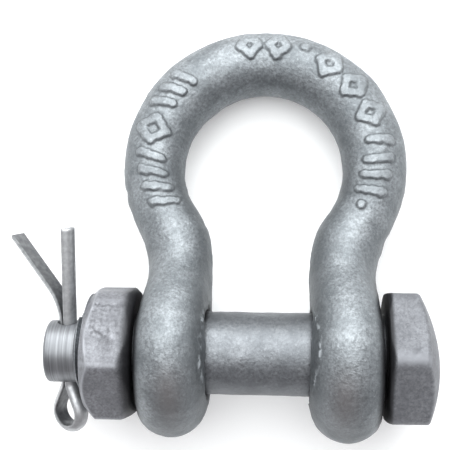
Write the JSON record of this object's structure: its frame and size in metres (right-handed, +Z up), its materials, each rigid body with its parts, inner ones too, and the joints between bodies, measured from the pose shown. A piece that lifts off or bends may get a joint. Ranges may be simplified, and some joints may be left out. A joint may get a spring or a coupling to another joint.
{
  "type": "bow shackle",
  "caption": "Galvanised bow shackle: a round-bodied forged bow closed across its two ears by a hex-headed bolt with a hex nut and a split pin.",
  "frame": {"origin": "on the bolt's axis, midway between the two ears of the bow", "axes": "+X along the bolt towards its head, +Y towards the crown of the bow, +Z up; the shackle lies at rest on its two ears and its crown, so the plane of the bow dips 9.4 degrees from the bolt to the crown"},
  "size_m": [0.0814, 0.0826, 0.0328],
  "materials": {
    "galvanised_forging": "hot-dip galvanised forging, satin, faintly mottled",
    "galvanised_bolt": "galvanised bolt, satin, with a bare turned end",
    "galvanised_nut": "galvanised nut, dull satin",
    "zinc_wire": "zinc-plated half-round wire"
  },
  "bodies": {
    "bow": {"bow": "galvanised_forging"},
    "bolt": {"bolt": "galvanised_bolt"},
    "nut": {"nut": "galvanised_nut"},
    "cotter": {"cotter_pin": "zinc_wire"}
  },
  "joints": [
    {"name": "bolt_spin", "type": "hinge", "parent": "bow", "child": "bolt", "pos_m": [0, 0, 0], "axis": [1, 0, 0], "continuous": true},
    {"name": "nut_turn", "type": "hinge", "parent": "bolt", "child": "nut", "pos_m": [-0.0282, 0, 0], "axis": [-1, 0, 0], "range_deg": [-60, 105]},
    {"name": "cotter_turn", "type": "hinge", "parent": "bolt", "child": "cotter", "pos_m": [-0.0372, 0, 0], "axis": [0, 0.9677, 0.2521], "range_deg": [-120, 180]}
  ]
}
